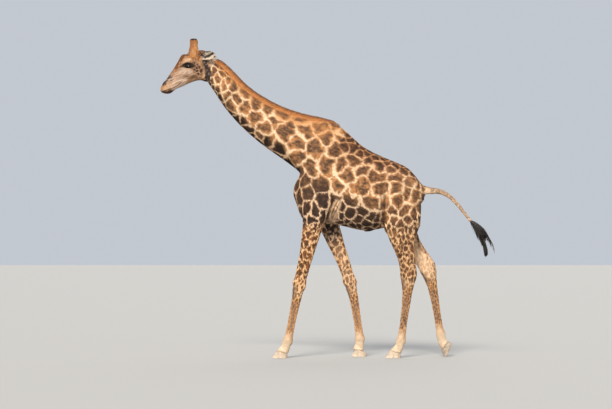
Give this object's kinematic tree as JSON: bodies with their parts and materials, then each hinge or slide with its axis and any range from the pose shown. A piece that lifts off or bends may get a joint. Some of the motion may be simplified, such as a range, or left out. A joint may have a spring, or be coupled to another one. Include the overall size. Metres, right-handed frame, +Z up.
{
  "type": "giraffe",
  "caption": "Life-size still figure of an adult bull giraffe in mid stride, neck stretched forward and low, tail lifted.",
  "frame": {"origin": "on the ground, under the centre of the whole figure's bounding box", "axes": "-Y the way the animal faces, +X its left side, +Z up"},
  "size_m": [0.6884, 4.1962, 4.0189],
  "materials": {
    "coat": "short flat hair over skin, brown patches parted by cream lines, matt",
    "mane": "short upright orange-brown hair, matt",
    "long_hair": "long black hair, slight sheen",
    "hoof": "dusty grey-beige horn, worn",
    "ossicone": "orange-brown hair over bone, black hair round the flat tip",
    "eye": "dark brown, wet gloss"
  },
  "bodies": {
    "root": {"fore_left_upper": "coat", "fore_left_lower": "coat", "fore_left_foot": "coat", "fore_left_hoof_outer": "hoof", "fore_left_hoof_inner": "hoof", "fore_right_upper": "coat", "fore_right_lower": "coat", "fore_right_foot": "coat", "fore_right_hoof_outer": "hoof", "fore_right_hoof_inner": "hoof", "hind_left_upper": "coat", "hind_left_lower": "coat", "hind_left_foot": "coat", "hind_left_hoof_outer": "hoof", "hind_left_hoof_inner": "hoof", "hind_right_upper": "coat", "hind_right_lower": "coat", "hind_right_foot": "coat", "hind_right_hoof_outer": "hoof", "hind_right_hoof_inner": "hoof", "head": "coat", "lower_jaw": "coat", "neck": "coat", "trunk": "coat", "tail": "coat", "tail_tuft": "long_hair", "mane": "mane", "eye_left": "eye", "ossicone_left": "ossicone", "ear_left": "coat", "eye_right": "eye", "ossicone_right": "ossicone", "ear_right": "coat"}
  },
  "joints": []
}
